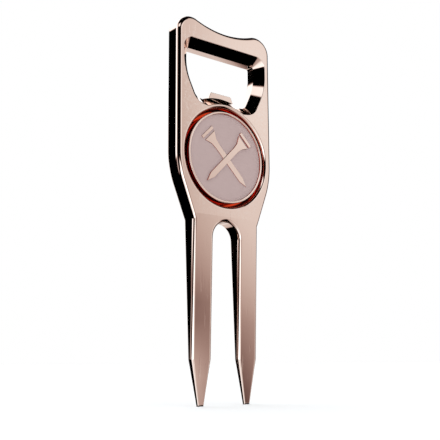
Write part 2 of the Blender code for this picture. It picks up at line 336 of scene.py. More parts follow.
class Solid:
    """A closed mesh in millimetres, which marks its flat faces, its worn points, and its points down the
    well, where red painted reflection and painted shade go.
    """

    def __init__(self):
        self.mesh = bmesh.new()
        self.wear = self.mesh.verts.layers.float.new("wear")
        self.recess = self.mesh.verts.layers.float.new("recess")
        self.strength = self.mesh.faces.layers.int.new("__mod_weightednormals_faceweight")
        self.drawn = self.mesh.faces.layers.int.new("drawn_in")

    def ring(self, outline, depth, wear=0.0):
        """The points of an outline at some depth behind the plate's front face."""
        points = [self.mesh.verts.new((x, FRONT_Y + depth, z)) for x, z in outline]
        for point in points:
            point[self.wear] = wear
        return points

    def face(self, points, flat=False, drawn=False):
        face = self.mesh.faces.new(points)
        face[self.strength] = STRONG_FACE if flat else 0
        face[self.drawn] = int(drawn)

    def band(self, first, second, flat=False, drawn=False):
        """The faces between two rings of equal length."""
        for index in range(len(first)):
            after = (index + 1) % len(first)
            points = (first[index], second[index], second[after], first[after])
            self.face(points, flat, drawn)

    def cap(self, rings, drawn=False):
        """A flat face inside an odd number of the rings."""
        loops = [[(p.co.x, p.co.z) for p in ring] for ring in rings]
        points = [p for ring in rings for p in ring]
        edges = []
        start = 0
        for loop in loops:
            count = len(loop)
            edges += [(start + i, start + (i + 1) % count) for i in range(count)]
            start += count
        flat_points = [Vector(p) for loop in loops for p in loop]
        found = delaunay_2d_cdt(flat_points, edges, [], 0, CLOSE_IN_CAP)
        places, triangles, origins = found[0], found[2], found[3]
        for triangle in triangles:
            middle = sum((places[i] for i in triangle), Vector((0.0, 0.0))) / 3
            if is_inside(middle, loops):
                self.face([points[origins[i][0]] for i in triangle], flat=True, drawn=drawn)

    def finish(self, name):
        """An object, still in millimetres, with smooth curves and crisp edges."""
        mesh = self.mesh
        bmesh.ops.recalc_face_normals(mesh, faces=mesh.faces)
        for face in mesh.faces:
            face.smooth = True
        for edge in mesh.edges:
            if len(edge.link_faces) != 2:
                continue
            angle = edge.calc_face_angle(0.0)
            crease = all(f[self.strength] for f in edge.link_faces) and angle > CREASE_ANGLE
            edge.smooth = not crease and angle < SHARP_ANGLE
        data = bpy.data.meshes.new(name)
        mesh.to_mesh(data)
        mesh.free()
        thing = bpy.data.objects.new(name, data)
        bpy.context.scene.collection.objects.link(thing)
        return thing


def weigh_normals(thing):
    """Lets the flat faces decide the normals beside them, so that they reflect as true planes."""
    modifier = thing.modifiers.new("normals", "WEIGHTED_NORMAL")
    modifier.mode = "FACE_AREA"
    modifier.keep_sharp = True
    modifier.use_face_influence = True


def quarter(steps=ROUND_STEPS):
    """(1 - sine, 1 - cosine) along a quarter turn."""
    angles = [math.pi / 2 * index / steps for index in range(steps + 1)]
    return [(1.0 - math.sin(angle), 1.0 - math.cos(angle)) for angle in angles]


def depth_in_plate(depth, z):
    """The depth of a point that is at some depth in an even plate, once the faces draw in."""
    front = table_value(FRONT_DRAW_IN, z)
    back = THICKNESS - table_value(BACK_DRAW_IN, z)
    front_round, back_round = edge_rounds(z)
    if depth <= EDGE_ROUND:
        return front + depth * front_round / EDGE_ROUND
    if depth >= THICKNESS - EDGE_ROUND:
        return back - (THICKNESS - depth) * back_round / EDGE_ROUND
    share = (depth - EDGE_ROUND) / (THICKNESS - 2 * EDGE_ROUND)
    return front + front_round + share * (back - front - front_round - back_round)


def draw_faces_in(body):
    """Creases the plate where its faces start to draw in, and moves its points to them."""
    mesh = body.mesh
    for z in (FRONT_CREASE_Z, POINT_START_Z, BACK_CREASE_Z):
        faces = [f for f in mesh.faces if f[body.drawn]]
        if z == BACK_CREASE_Z:
            faces = [f for f in faces if f.calc_center_median().y > FRONT_Y + EDGE_ROUND]
        edges = {e for f in faces for e in f.edges}
        points = {p for f in faces for p in f.verts}
        bmesh.ops.bisect_plane(
            mesh,
            geom=list(points) + list(edges) + faces,
            dist=CLOSE,
            plane_co=(0.0, 0.0, z),
            plane_no=(0.0, 0.0, 1.0),
        )
    moved = {p for f in mesh.faces if f[body.drawn] for p in f.verts}
    for point in moved:
        point.co.y = FRONT_Y + depth_in_plate(point.co.y - FRONT_Y, point.co.z)
    bmesh.ops.triangulate(mesh, faces=[f for f in mesh.faces if len(f.verts) > 4])


def outer_rings(body, outline):
    """The plate's rounded outer edge, as rings from the front face to the back face."""
    rounds = quarter()
    profile = [(side, depth * EDGE_ROUND, 0) for side, depth in rounds]
    profile += [(side, THICKNESS - depth * EDGE_ROUND, 1) for side, depth in reversed(rounds)]
    rings = []
    for side, depth, at_back in profile:
        section = inset(outline, [side * edge_rounds(z)[at_back] for _, z in outline])
        rings.append(body.ring(section, depth, wear=math.sin(math.pi * side)))
    for first, second in zip(rings, rings[1:]):
        body.band(first, second, drawn=True)
    return rings[0], rings[-1]


def window_rings(body):
    """The window: a rounded arris, the wide bevel, the tongue's face and the wall behind it."""
    edge, joint = window_outline()
    lip_round = [(0.0, 0.0, WINDOW_FRONT_ROUND)]
    arris = rounded_path(lip_round, (-OUTSIDE, 0.0), (OUTSIDE, OUTSIDE), ROUND_STEP)
    rings = []
    for shift, depth in arris + [(BEVEL, BEVEL)]:
        section = raised(evenly_inset(edge, shift), WELL_Z)
        rings.append(body.ring(section, depth, wear=float(depth < BEVEL)))
    for first, second in zip(rings, rings[1:]):
        body.band(first, second)

    # The tongue's outline takes the place of the arc between the two joints.
    behind = evenly_inset(edge, BEVEL)
    base = behind[joint]
    corners = [
        (TONGUE_TOP_HALF, TONGUE_TOP_Z, TONGUE_CORNER_ROUND),
        (-TONGUE_TOP_HALF, TONGUE_TOP_Z, TONGUE_CORNER_ROUND),
    ]
    lip = list(reversed(rounded_path(corners, base, (-base[0], base[1]), TURNED_STEP)))
    last = len(behind) - joint
    wall = behind[joint : last + 1] + lip
    shares = [0.0] * (last + 1 - joint) + [1.0] * len(lip)
    wall_points = rings[-1][joint : last + 1]
    lip_points = None
    rounds = quarter(SMALL_ROUND_STEPS)
    previous = None
    for side, depth in rounds:
        shifts = [-share * side * TONGUE_EDGE_ROUND for share in shares]
        section = raised(inset(wall, shifts), WELL_Z)
        if previous is None:
            lip_points = body.ring(section[len(wall_points) :], BEVEL, wear=1.0)
            previous = wall_points + lip_points
            continue
        ring = body.ring(section, BEVEL + depth * TONGUE_EDGE_ROUND, wear=0.5)
        body.band(previous, ring)
        previous = ring
    arc = rings[-1][last:] + rings[-1][: joint + 1]
    body.cap([arc + list(reversed(lip_points))])

    for side, depth in rounds:
        shift = -depth * WINDOW_BACK_ROUND
        level = THICKNESS - side * WINDOW_BACK_ROUND
        section = raised(evenly_inset(wall, shift), WELL_Z)
        ring = body.ring(section, level, wear=0.6)
        body.band(previous, ring)
        previous = ring
    return rings[0], previous


def circle(radius):
    points = arc_points((0.0, 0.0), radius, 0.0, 360.0, 360.0 / TURN_SEGMENTS)[:-1]
    return raised(points, WELL_Z)


def turned_rings(body, profile):
    """Rings along a profile of (radius, depth, whether the band after it is flat)."""
    rings = [body.ring(circle(radius), depth) for radius, depth, _ in profile]
    for first, second, (_, _, flat) in zip(rings, rings[1:], profile):
        body.band(first, second, flat=flat)
    return rings


def round_profile(corners, before, after):
    """A turned profile through corners of (radius, depth, rounding)."""
    path = rounded_path(corners, before, after, TURNED_STEP)
    profile = []
    for index, (radius, depth) in enumerate(path):
        following = path[min(index + 1, len(path) - 1)]
        level = abs(following[1] - depth) < CLOSE
        profile.append((radius, depth, level))
    return profile


def well_rings(body):
    """The marker's well, with its rounded lip, its floor and the magnet's pocket."""
    pocket = MAGNET_RADIUS + POCKET_GAP
    corners = [
        (WELL_RADIUS, 0.0, WELL_EDGE_ROUND),
        (WELL_RADIUS, WELL_DEPTH, WELL_FLOOR_ROUND),
        (pocket, WELL_DEPTH, POCKET_ROUND),
        (pocket, POCKET_DEPTH, 0.0),
    ]
    profile = round_profile(corners, (WELL_RADIUS + OUTSIDE, 0.0), (0.0, POCKET_DEPTH))
    rings = turned_rings(body, profile)
    for point in [p for ring in rings for p in ring]:
        depth = point.co.y - FRONT_Y
        point[body.wear] = float(depth < WELL_EDGE_ROUND)
        # How deep a point lies past the lip, which places the red painted reflection and the painted
        # shade in the well.
        point[body.recess] = min(1.0, max(0.0, depth - WELL_EDGE_ROUND))
    body.cap([rings[-1]])
    return rings[0]


def make_body():
    body = Solid()
    front, back = outer_rings(body, plate_outline())
    window_front, window_back = window_rings(body)
    well = well_rings(body)
    body.cap([front, window_front, well], drawn=True)
    body.cap([back, window_back], drawn=True)
    draw_faces_in(body)
    thing = body.finish("tool_body_polished")
    weigh_normals(thing)
    return thing


def boolean(thing, other, operation="UNION"):
    modifier = thing.modifiers.new(other.name, "BOOLEAN")
    modifier.operation = operation
    modifier.solver = "EXACT"
    modifier.object = other


def apply_modifiers(thing):
    """Makes the evaluated mesh the object's own."""
    graph = bpy.context.evaluated_depsgraph_get()
    data = bpy.data.meshes.new_from_object(thing.evaluated_get(graph))
    data.name = thing.name
    thing.modifiers.clear()
    thing.data = data


def to_metres(thing):
    apply_modifiers(thing)
    thing.data.transform(Matrix.Scale(MM, 4))


def make_tee(name, place, top_depth):
    """One raised tee with rounded upper edges, standing on the marker's field."""
    tee = Solid()
    for shape in tee_outlines(place):
        rings = []
        for side, depth in quarter(SMALL_ROUND_STEPS):
            section = evenly_inset(shape, side * TEE_EDGE_ROUND)
            level = top_depth + depth * TEE_EDGE_ROUND
            rings.append(tee.ring(section, level, wear=1.0))
        rings.append(tee.ring(shape, FIELD_DEPTH + TEE_ROOT_DEPTH))
        for first, second in zip(rings, rings[1:]):
            tee.band(first, second)
        tee.cap([rings[0]])
        tee.cap([rings[-1]])
    return tee.finish(name)


def make_marker():
    """The struck disc: a rounded rim, a sunk field and two crossed tees."""
    marker = Solid()
    corners = [
        (MARKER_RADIUS, MARKER_THICKNESS, MARKER_BACK_ROUND),
        (MARKER_RADIUS, RIM_CROWN, RIM_OUTER_ROUND),
        ((MARKER_RADIUS + FIELD_RADIUS) / 2, 0.0, RIM_CROWN_ROUND),
        (FIELD_RADIUS, RIM_CROWN, RIM_INNER_ROUND),
        (FIELD_RADIUS, FIELD_DEPTH, 0.0),
    ]
    profile = round_profile(corners, (0.0, MARKER_THICKNESS), (0.0, FIELD_DEPTH))
    rings = turned_rings(marker, profile)
    for point in [p for ring in rings for p in ring]:
        depth = point.co.y - FRONT_Y
        point[marker.wear] = float(depth < RIM_CROWN + RIM_OUTER_ROUND)
    marker.cap([rings[0]])
    marker.cap([rings[-1]])
    disc = marker.finish("marker_disc_struck")
    tees = []
    for index, place in enumerate(TEES):
        top_depth = TEE_TOP_BELOW_RIM + index * UNDER_TEE_DROP
        tees.append(make_tee(f"tee_{index}", place, top_depth))
        boolean(disc, tees[-1])
    apply_modifiers(disc)
    for tee in tees:
        bpy.data.objects.remove(tee)
    disc.data.set_sharp_from_angle(angle=MARKER_SHARP_ANGLE)
    weigh_normals(disc)
    return disc


def make_enamel():
    """The enamel between the rim and the tees, which climbs a little where it touches metal."""
    front = ENAMEL_LOW.y - FRONT_Y
    back = ENAMEL_HIGH.y - FRONT_Y
    radius = FIELD_RADIUS - ENAMEL_GAP
    loops = [circle(radius), circle(radius - MENISCUS_WIDTH)]
    tees = []
    for place in TEES:
        for grow in (ENAMEL_GAP, ENAMEL_GAP + MENISCUS_WIDTH):
            shapes = tee_outlines(place, grow)
            loops += shapes
            if grow == ENAMEL_GAP:
                tees += shapes
    points = []
    edges = []
    for loop in loops:
        start = len(points)
        points += [Vector(p) for p in loop]
        edges += [(start + i, start + (i + 1) % len(loop)) for i in range(len(loop))]
    found = delaunay_2d_cdt(points, edges, [], 0, CLOSE)
    enamel = Solid()
    verts = enamel.ring([tuple(p) for p in found[0]], front + MENISCUS_RISE)
    for triangle in found[2]:
        middle = sum((found[0][i] for i in triangle), Vector((0.0, 0.0))) / 3
        if not any(is_inside(middle, [tee]) for tee in tees):
            enamel.face([verts[i] for i in triangle])
    loose = [p for p in enamel.mesh.verts if not p.link_faces]
    bmesh.ops.delete(enamel.mesh, geom=loose, context="VERTS")
    for point in enamel.mesh.verts:
        if point.is_boundary:
            point.co.y = FRONT_Y + front
    grown = bmesh.ops.extrude_face_region(enamel.mesh, geom=enamel.mesh.faces[:])
    for point in grown["geom"]:
        if isinstance(point, bmesh.types.BMVert):
            point.co.y = FRONT_Y + back
    return enamel.finish("marker_enamel_fill")


def make_turned(name, low, high, rounding):
    """A plain turned disc that fills a CAD node's box."""
    solid = Solid()
    radius = high.x
    corners = [(radius, low.y - FRONT_Y, rounding), (radius, high.y - FRONT_Y, rounding)]
    profile = round_profile(corners, (0.0, low.y - FRONT_Y), (0.0, high.y - FRONT_Y))
    rings = turned_rings(solid, profile)
    solid.cap([rings[0]])
    solid.cap([rings[-1]])
    thing = solid.finish(name)
    weigh_normals(thing)
    return thing


# ---- materials ----

# Noises are (features in a millimetre, detail). Bands are the two values between which a mask rises.
ROSE_GOLD = {
    "colour": (0.94, 0.71, 0.61),
    "drift_colour": (0.92, 0.69, 0.59),
    "worn_colour": (0.96, 0.79, 0.70),
    "worn_share": 0.55,
    # Painted reflection: the red of light bounced between gold walls in the well's gap, then near black
    # painted shade deeper in it.
    "painted_red_colour": (0.80, 0.06, 0.015),
    "painted_shade_colour": (0.05, 0.006, 0.004),
    "roughness": 0.022,
    "smudge_roughness": 0.02,
    "wear_roughness": 0.07,
    "satin_roughness": (0.4, 0.48),
    "drift_noise": (0.09, 3.0),
    "smudge_noise": (0.35, 4.0),
    "smudge_band": (0.5, 0.72),
    "rub_noise": (1.4, 3.0),
    "rub_band": (0.42, 0.66),
    "brush_noise": (5.0, 3.0),
    "brush_band": (0.3, 0.7),
    "brush_stretch": (1.0, 1.0, 0.04),
    "ripple_noise": (0.5, 2.0),
    "ripple_height": 0.0012,
    "scratch_depth": 1.5,
}
# The hairlines' leans in degrees, with how many lie side by side in a millimetre
HAIRLINES = ((8.0, 3.1), (41.0, 2.6), (-63.0, 2.2))
HAIRLINE_STRETCH = (1.0, 1.0, 0.03)
HAIRLINE_BAND = (0.68, 0.74)
HAIRLINE_PATCHES = (0.22, 1.0)
HAIRLINE_PATCH_STRETCH = (1.0, 1.0, 0.6)
HAIRLINE_PATCH_BAND = (0.5, 0.62)
# Where the back counts as facing straight back, and a wall as standing square to the front
BACK_FACING = (0.97, 0.995)
WALL_FACING = (0.85, 0.4)
# The painted red reflection round the marker starts this far inside its edge, and the painted shade this
# far outside it and this deep in the gap
PAINTED_RED_REACH = 0.6
PAINTED_SHADE_GAP = (0.25, 0.45)
PAINTED_SHADE_DEPTH = (0.95, 1.2)
# The marker's walls take the painted red reflection: this share of it on the tees, and all of it down the
# rim past this depth
RIM_WALL_DEPTH = (0.5, 0.9)
TEE_WALL_SHARE = 0.75

ENAMEL = {
    "dark": (0.455, 0.340, 0.327),
    "light": (0.485, 0.362, 0.348),
    "speck_colour": (0.62, 0.50, 0.48),
    "cloud_noise": (0.3, 3.0),
    "speck_noise": (14.0, 1.0),
    "speck_band": (0.66, 0.74),
    "speck_share": 0.2,
    "gloss_noise": (0.8, 3.0),
    "gloss_band": (0.3, 0.7, 0.46, 0.6),
    "specular": 0.25,
    "grain_noise": (9.0, 2.0),
    "grain_share": 0.5,
    "skin_noise": (2.2, 2.0),
    "skin_height": 0.012,
}
NICKEL = {
    "light": (0.72, 0.70, 0.66),
    "dark": (0.60, 0.58, 0.52),
    "mottle_noise": (1.1, 3.0),
    "rings": 9.0,
    "ring_band": (0.3, 0.7, 0.16, 0.34),
    "ring_height": 0.006,
}
EPOXY = {
    "dark": (0.55, 0.36, 0.12),
    "light": (0.68, 0.5, 0.24),
    "bubble_colour": (0.78, 0.66, 0.42),
    "cloud_noise": (0.5, 3.0),
    "bubbles": 3.5,
    "bubble_band": (0.1, 0.22),
    "gloss_band": (0.0, 1.0, 0.5, 0.22),
    "bubble_height": 0.02,
}


def material(name):
    made = bpy.data.materials.new(name)
    made.use_nodes = True
    return made, made.node_tree, made.node_tree.nodes["Principled BSDF"]


def node(tree, kind, **values):
    made = tree.nodes.new(kind)
    for key, value in values.items():
        setattr(made, key, value)
    return made


def link(tree, value, socket):
    """Feeds a socket from another socket, or sets its value."""
    if isinstance(value, bpy.types.NodeSocket):
        tree.links.new(value, socket)
    else:
        socket.default_value = value


def maths(tree, operation, first, second=None, third=None, clamp=False):
    """The output of a math node on sockets or numbers."""
    made = node(tree, "ShaderNodeMath", operation=operation, use_clamp=clamp)
    for index, value in enumerate((first, second, third)):
        if value is not None:
            link(tree, value, made.inputs[index])
    return made.outputs[0]


def mixed(tree, share, first, second):
    """A mix of two colours, each a socket or three numbers."""
    made = node(tree, "ShaderNodeMix", data_type="RGBA")
    factor, low, high = made.inputs[0], made.inputs[6], made.inputs[7]
    link(tree, share, factor)
    link(tree, first if isinstance(first, bpy.types.NodeSocket) else (*first, 1.0), low)
    link(tree, second if isinstance(second, bpy.types.NodeSocket) else (*second, 1.0), high)
    return made.outputs[2]


def span(tree, value, low, high, to_low=0.0, to_high=1.0):
    """A value's place between low and high, carried over to another span and held there."""
    made = node(tree, "ShaderNodeMapRange", clamp=True)
    for index, number in enumerate((value, low, high, to_low, to_high)):
        link(tree, number, made.inputs[index])
    return made.outputs[0]


def place_mm(tree):
    """Object coordinates in millimetres."""
    coordinates = node(tree, "ShaderNodeTexCoord").outputs["Object"]
    made = node(tree, "ShaderNodeVectorMath", operation="SCALE")
    tree.links.new(coordinates, made.inputs[0])
    made.inputs["Scale"].default_value = 1.0 / MM
    return made.outputs[0]


def axis(tree, vector, index):
    """One number of a vector socket."""
    split = node(tree, "ShaderNodeSeparateXYZ")
    tree.links.new(vector, split.inputs[0])
    return split.outputs[index]


def noise(tree, place, scale, detail, stretch=None, turn=0.0):
    """Noise about 0.5, with features of 1 / scale millimetres, drawn out by stretch."""
    if stretch:
        mapping = node(tree, "ShaderNodeMapping")
        tree.links.new(place, mapping.inputs["Vector"])
        mapping.inputs["Rotation"].default_value = (0.0, math.radians(turn), 0.0)
        mapping.inputs["Scale"].default_value = stretch
        place = mapping.outputs[0]
    made = node(tree, "ShaderNodeTexNoise")
    tree.links.new(place, made.inputs["Vector"])
    made.inputs["Scale"].default_value = scale
    made.inputs["Detail"].default_value = detail
    return made.outputs["Fac"]


def bumped(tree, shader, height, distance_mm):
    """Gives a shader a bump from a height of 0 to 1 over a distance in millimetres."""
    bump = node(tree, "ShaderNodeBump")
    bump.inputs["Distance"].default_value = distance_mm * MM
    link(tree, height, bump.inputs["Height"])
    tree.links.new(bump.outputs[0], shader.inputs["Normal"])


def attribute(tree, name):
    return node(tree, "ShaderNodeAttribute", attribute_name=name).outputs["Fac"]


def hairlines(tree, place):
    """Hairline scratches in three directions, as a mask."""
    total = 0.0
    for turn, reach in HAIRLINES:
        streaks = noise(tree, place, reach, 1.0, HAIRLINE_STRETCH, turn)
        patches = noise(tree, place, *HAIRLINE_PATCHES, HAIRLINE_PATCH_STRETCH, turn)
        streaks = span(tree, streaks, *HAIRLINE_BAND)
        patches = span(tree, patches, *HAIRLINE_PATCH_BAND)
        total = maths(tree, "MAXIMUM", total, maths(tree, "MULTIPLY", streaks, patches))
    return total


def plated_metal(name, look, painted_light_mask):
    """Polished plating: its colour drifts, handling dulls it in patches, its edges are worn paler, and
    where a mask says so it takes painted reflection, the red of light bounced between gold walls, down to
    near black painted shade deeper in the gap. The mask comes from a function of the node tree. The back
    is brushed to a satin."""
    made, tree, shader = material(name)
    place = place_mm(tree)
    drift = noise(tree, place, *look["drift_noise"])
    smudges = span(tree, noise(tree, place, *look["smudge_noise"]), *look["smudge_band"])
    patches = span(tree, noise(tree, place, *look["rub_noise"]), *look["rub_band"])
    rubbed = maths(tree, "MULTIPLY", attribute(tree, "wear"), patches)
    scratches = hairlines(tree, place)

    plate = mixed(tree, drift, look["colour"], look["drift_colour"])
    worn = maths(tree, "MULTIPLY", rubbed, look["worn_share"])
    plate = mixed(tree, worn, plate, look["worn_colour"])
    # Painted reflection and shade: red where light bounces between the gold walls of the gap, near black
    # painted shade deeper down.
    depth = maths(tree, "SUBTRACT", axis(tree, place, 1), FRONT_Y)
    gap = maths(tree, "SUBTRACT", turned_radius(tree, place), MARKER_RADIUS)
    painted_shade_share = maths(tree, "MULTIPLY", span(tree, depth, *PAINTED_SHADE_DEPTH), span(tree, gap, *PAINTED_SHADE_GAP))
    painted_gap_colour = mixed(tree, painted_shade_share, look["painted_red_colour"], look["painted_shade_colour"])
    colour = mixed(tree, painted_light_mask(tree, place), plate, painted_gap_colour)
    tree.links.new(colour, shader.inputs["Base Color"])

    rough = maths(tree, "MULTIPLY_ADD", smudges, look["smudge_roughness"], look["roughness"])
    rough = maths(tree, "MULTIPLY_ADD", rubbed, look["wear_roughness"], rough)
    rough = maths(tree, "MULTIPLY_ADD", scratches, look["wear_roughness"], rough)
    brushing = noise(tree, place, *look["brush_noise"], look["brush_stretch"])
    satin = span(tree, brushing, *look["brush_band"], *look["satin_roughness"])
    satin = maths(tree, "MULTIPLY", satin, span(tree, facing_back(tree), *BACK_FACING))
    tree.links.new(maths(tree, "MAXIMUM", rough, satin), shader.inputs["Roughness"])
    shader.inputs["Metallic"].default_value = 1.0

    ripple = noise(tree, place, *look["ripple_noise"])
    height = maths(tree, "MULTIPLY_ADD", scratches, -look["scratch_depth"], ripple)
    bumped(tree, shader, height, look["ripple_height"])
    return made


def turned_radius(tree, place):
    """The distance from the axis of the well and the marker, in millimetres."""
    beside = axis(tree, place, 0)
    across = maths(tree, "MULTIPLY", beside, beside)
    above = maths(tree, "SUBTRACT", axis(tree, place, 2), WELL_Z)
    return maths(tree, "SQRT", maths(tree, "MULTIPLY_ADD", above, above, across))


def facing_back(tree):
    """1 where a surface faces straight back, and -1 where it faces straight forward."""
    return axis(tree, node(tree, "ShaderNodeTexCoord").outputs["Normal"], 1)


def well_painted_light(tree, place):
    """The well's wall and the corner of its floor, where the red painted reflection and the painted shade
    go.
    """
    radius = turned_radius(tree, place)
    corner = span(tree, radius, MARKER_RADIUS - PAINTED_RED_REACH, MARKER_RADIUS)
    return maths(tree, "MULTIPLY", attribute(tree, "recess"), corner)


def painted_wall_reflection(tree, place):
    """The walls square to the front face, which take the red painted reflection: mostly on the tees, and
    wholly down the rim.
    """
    walls = span(tree, maths(tree, "ABSOLUTE", facing_back(tree)), *WALL_FACING)
    depth = maths(tree, "SUBTRACT", axis(tree, place, 1), FRONT_Y)
    share = span(tree, depth, *RIM_WALL_DEPTH, TEE_WALL_SHARE, 1.0)
    return maths(tree, "MULTIPLY", walls, share)


def enamel_material(look):
    """Soft mauve enamel: faint clouds of tone, specks of pigment, and a fired, uneven skin."""
    made, tree, shader = material("mauve_enamel")
    place = place_mm(tree)
    clouds = noise(tree, place, *look["cloud_noise"])
    specks = span(tree, noise(tree, place, *look["speck_noise"]), *look["speck_band"])
    specks = maths(tree, "MULTIPLY", specks, look["speck_share"])
    colour = mixed(tree, clouds, look["dark"], look["light"])
    colour = mixed(tree, specks, colour, look["speck_colour"])
    tree.links.new(colour, shader.inputs["Base Color"])
    rough = span(tree, noise(tree, place, *look["gloss_noise"]), *look["gloss_band"])
    tree.links.new(rough, shader.inputs["Roughness"])
    shader.inputs["Specular IOR Level"].default_value = look["specular"]
    grain = noise(tree, place, *look["grain_noise"])
    skin = noise(tree, place, *look["skin_noise"])
    skin = maths(tree, "MULTIPLY_ADD", grain, look["grain_share"], skin)
    bumped(tree, shader, skin, look["skin_height"])
    return made


def nickel_material(look):
    """The magnet's nickel: lathe rings round its axis, and a mottled, slightly yellow plating."""
    made, tree, shader = material("magnet_nickel")
    place = place_mm(tree)
    rings = node(tree, "ShaderNodeTexNoise", noise_dimensions="1D")
    tree.links.new(turned_radius(tree, place), rings.inputs["W"])
    rings.inputs["Scale"].default_value = look["rings"]
    ring = rings.outputs["Fac"]
    colour = mixed(tree, noise(tree, place, *look["mottle_noise"]), look["light"], look["dark"])
    tree.links.new(colour, shader.inputs["Base Color"])
    shader.inputs["Metallic"].default_value = 1.0
    tree.links.new(span(tree, ring, *look["ring_band"]), shader.inputs["Roughness"])
    bumped(tree, shader, ring, look["ring_height"])
    return made


def epoxy_material(look):
    """Amber epoxy with fine bubbles."""
    made, tree, shader = material("amber_epoxy")
    place = place_mm(tree)
    bubbles = node(tree, "ShaderNodeTexVoronoi")
    tree.links.new(place, bubbles.inputs["Vector"])
    bubbles.inputs["Scale"].default_value = look["bubbles"]
    clear = span(tree, bubbles.outputs["Distance"], *look["bubble_band"])
    colour = mixed(tree, noise(tree, place, *look["cloud_noise"]), look["dark"], look["light"])
    colour = mixed(tree, clear, look["bubble_colour"], colour)
    tree.links.new(colour, shader.inputs["Base Color"])
    tree.links.new(span(tree, clear, *look["gloss_band"]), shader.inputs["Roughness"])
    bumped(tree, shader, clear, look["bubble_height"])
    return made


# ---- the tool ----

body = make_body()
marker = make_marker()
enamel = make_enamel()
magnet = make_turned("marker_magnet_plated", MAGNET_LOW, MAGNET_HIGH, MAGNET_ROUND)
bond = make_turned("magnet_bond_layer", BOND_LOW, BOND_HIGH, 0.0)

# The well and the marker's walls take red painted reflection, and the gap painted shade.
body_gold = plated_metal("rose_gold_plate", ROSE_GOLD, well_painted_light)
marker_gold = plated_metal("marker_rose_gold", ROSE_GOLD, painted_wall_reflection)

# (piece, material, CAD node, body, slot)
pieces = (
    (body, body_gold, "tool_body", "tool", "rose_gold_plate"),
    (magnet, nickel_material(NICKEL), "marker_magnet", "tool", "magnet"),
    (bond, epoxy_material(EPOXY), "magnet_bond", "tool", "epoxy"),
    (marker, marker_gold, "marker_disc", "marker", "marker_metal"),
    (enamel, enamel_material(ENAMEL), "marker_enamel", "marker", "enamel"),
)
for thing, look, node_name, body_name, slot in pieces:
    to_metres(thing)
    thing.data.materials.clear()
    thing.data.materials.append(look)
    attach(thing, body_name)
    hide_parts(node_name)

# ---- camera ----

LENS = 62.8
SENSOR_WIDTH = 36.0
CLIP_START = 0.001
CAMERA_PLACE = Vector((-109.24, -136.66, 9.36))
CAMERA_YAW = math.radians(38.54)
CAMERA_PITCH = math.radians(10.51)
CAMERA_ROLL = math.radians(-0.31)

camera_data = bpy.data.cameras.new("camera")
camera_data.lens = LENS
camera_data.sensor_width = SENSOR_WIDTH
camera_data.clip_start = CLIP_START
camera = bpy.data.objects.new("camera", camera_data)
bpy.context.scene.collection.objects.link(camera)
level_reach = math.cos(CAMERA_PITCH)
aim = Vector(
    (
        math.sin(CAMERA_YAW) * level_reach,
        math.cos(CAMERA_YAW) * level_reach,
        math.sin(CAMERA_PITCH),
    )
)
turn = aim.to_track_quat("-Z", "Y").to_matrix().to_4x4() @ Matrix.Rotation(CAMERA_ROLL, 4, "Z")
camera.matrix_world = Matrix.Translation(CAMERA_PLACE * MM) @ turn
bpy.context.scene.camera = camera

# ---- studio ----

